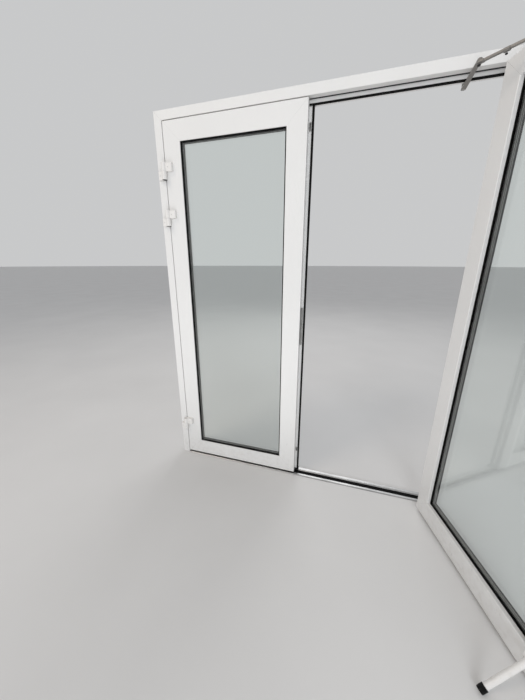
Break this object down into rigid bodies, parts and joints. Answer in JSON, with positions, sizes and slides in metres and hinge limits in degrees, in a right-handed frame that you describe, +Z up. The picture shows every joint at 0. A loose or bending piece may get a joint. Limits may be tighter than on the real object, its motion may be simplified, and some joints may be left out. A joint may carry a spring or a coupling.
{
  "type": "glass entrance door",
  "caption": "Double glazed entrance door: framed white leaves in a low-sill frame, the right one held open on a kick-down stop, with a closer arm overhead.",
  "frame": {"origin": "on the floor, at the middle of the frame's width and depth", "axes": "+X to the right seen from the front, +Y to the rear, +Z up"},
  "size_m": [1.9652, 0.957, 2.2],
  "materials": {
    "white_profile": "smooth satin powder coat",
    "white_fitting": "smooth gloss powder coat",
    "black_plastic": "matt",
    "black_rubber": "matt",
    "plain_aluminium": "satin",
    "sill_aluminium": "satin",
    "clear_glass": "clear float glass",
    "dark_spacer": "matt",
    "steel": "brushed",
    "grey_enamel": "satin enamel"
  },
  "bodies": {
    "frame": {"left_jamb_profile": "white_profile", "head_profile": "white_profile", "right_jamb_profile": "white_profile", "frame_thermal_strips": "black_plastic", "frame_corner_cleats": "plain_aluminium", "frame_stop_gaskets": "black_rubber", "threshold": "sill_aluminium", "threshold_seal": "black_rubber", "bolt_keeps": "steel", "hinge_frame_halves": "white_fitting", "hinge_pins": "steel", "closer_body": "grey_enamel"},
    "passive_leaf": {"passive_hinge_stile": "white_profile", "passive_top_rail": "white_profile", "passive_bottom_rail": "white_profile", "passive_thermal_strips": "black_plastic", "passive_corner_cleats": "plain_aluminium", "passive_glass_panes": "clear_glass", "passive_glass_spacer": "dark_spacer", "passive_glazing_beads": "white_profile", "passive_glazing_rubbers": "black_rubber", "passive_bottom_brush": "black_rubber", "passive_hinge_halves": "white_fitting", "passive_hinge_caps": "white_fitting", "passive_meeting_stile": "white_profile", "astragal": "white_profile", "astragal_gasket": "black_rubber", "astragal_end_caps": "black_plastic", "strike_plate": "steel", "bolt_housings": "steel"},
    "active_leaf": {"active_hinge_stile": "white_profile", "active_top_rail": "white_profile", "active_bottom_rail": "white_profile", "active_thermal_strips": "black_plastic", "active_corner_cleats": "plain_aluminium", "active_glass_panes": "clear_glass", "active_glass_spacer": "dark_spacer", "active_glazing_beads": "white_profile", "active_glazing_rubbers": "black_rubber", "active_bottom_brush": "black_rubber", "active_hinge_halves": "white_fitting", "active_hinge_caps": "white_fitting", "active_lock_stile": "white_profile", "lock_case": "steel", "lock_faceplate": "steel", "lock_cylinder": "steel", "handle_roses": "plain_aluminium", "closer_shoe": "grey_enamel", "kick_stop_bracket": "white_fitting"},
    "upper_bolt": {"upper_flush_bolt": "steel"},
    "lower_bolt": {"lower_flush_bolt": "steel"},
    "closer_arm": {"closer_main_arm": "grey_enamel", "closer_spindle": "steel"},
    "closer_link": {"closer_forearm": "grey_enamel"},
    "levers": {"lever_handles": "plain_aluminium", "handle_spindle": "steel"},
    "latch": {"latch_bolt": "steel"},
    "deadbolt": {"dead_bolt": "steel"},
    "kick_stop": {"kick_stop_arm": "white_fitting", "kick_stop_foot": "black_rubber"}
  },
  "joints": [
    {"name": "passive_leaf_hinge", "type": "hinge", "parent": "frame", "child": "passive_leaf", "pos_m": [-0.8185, -0.046, 1.1], "axis": [0, 0, -1], "range_deg": [0, 110]},
    {"name": "active_leaf_hinge", "type": "hinge", "parent": "frame", "child": "active_leaf", "pos_m": [0.8185, -0.046, 1.1], "axis": [0, 0, 1], "range_deg": [-108.4, 0]},
    {"name": "closer_arm_pivot", "type": "hinge", "parent": "frame", "child": "closer_arm", "pos_m": [0.6565, 0.055, 2.123], "axis": [0, 0, 1], "range_deg": [-114.5, 0]},
    {"name": "closer_link_pivot", "type": "hinge", "parent": "active_leaf", "child": "closer_link", "pos_m": [0.78628, -0.2539, 2.114], "axis": [0, 0, 1], "range_deg": [0, 119]},
    {"name": "upper_bolt_slide", "type": "slide", "parent": "passive_leaf", "child": "upper_bolt", "axis": [0, 0, 1], "range_m": [0, 0.02]},
    {"name": "lower_bolt_slide", "type": "slide", "parent": "passive_leaf", "child": "lower_bolt", "axis": [0, 0, -1], "range_m": [0, 0.011]},
    {"name": "lever_pivot", "type": "hinge", "parent": "active_leaf", "child": "levers", "pos_m": [1.01664, -0.78736, 1.085], "axis": [-0.9489, -0.3156, 0], "range_deg": [0, 45], "stiffness_Nm_per_rad": 1, "springref_deg": -28.65},
    {"name": "latch_slide", "type": "slide", "parent": "active_leaf", "child": "latch", "axis": [-0.3156, 0.9489, 0], "range_m": [0, 0.0116]},
    {"name": "deadbolt_slide", "type": "slide", "parent": "active_leaf", "child": "deadbolt", "axis": [0.3156, -0.9489, 0], "range_m": [0, 0.02]},
    {"name": "kick_stop_pivot", "type": "hinge", "parent": "active_leaf", "child": "kick_stop", "pos_m": [0.96366, -0.79602, 0.122], "axis": [-0.3088, 0.9281, -0.2079], "range_deg": [0, 125.5]}
  ],
  "couplings": [
    {"joint": "closer_arm_pivot", "follows": "active_leaf_hinge", "ratio": 1.053},
    {"joint": "closer_link_pivot", "follows": "active_leaf_hinge", "ratio": -1.093},
    {"joint": "kick_stop_pivot", "follows": "active_leaf_hinge", "ratio": -1.1531},
    {"joint": "latch_slide", "follows": "lever_pivot", "m_per_rad": 0.014642}
  ]
}
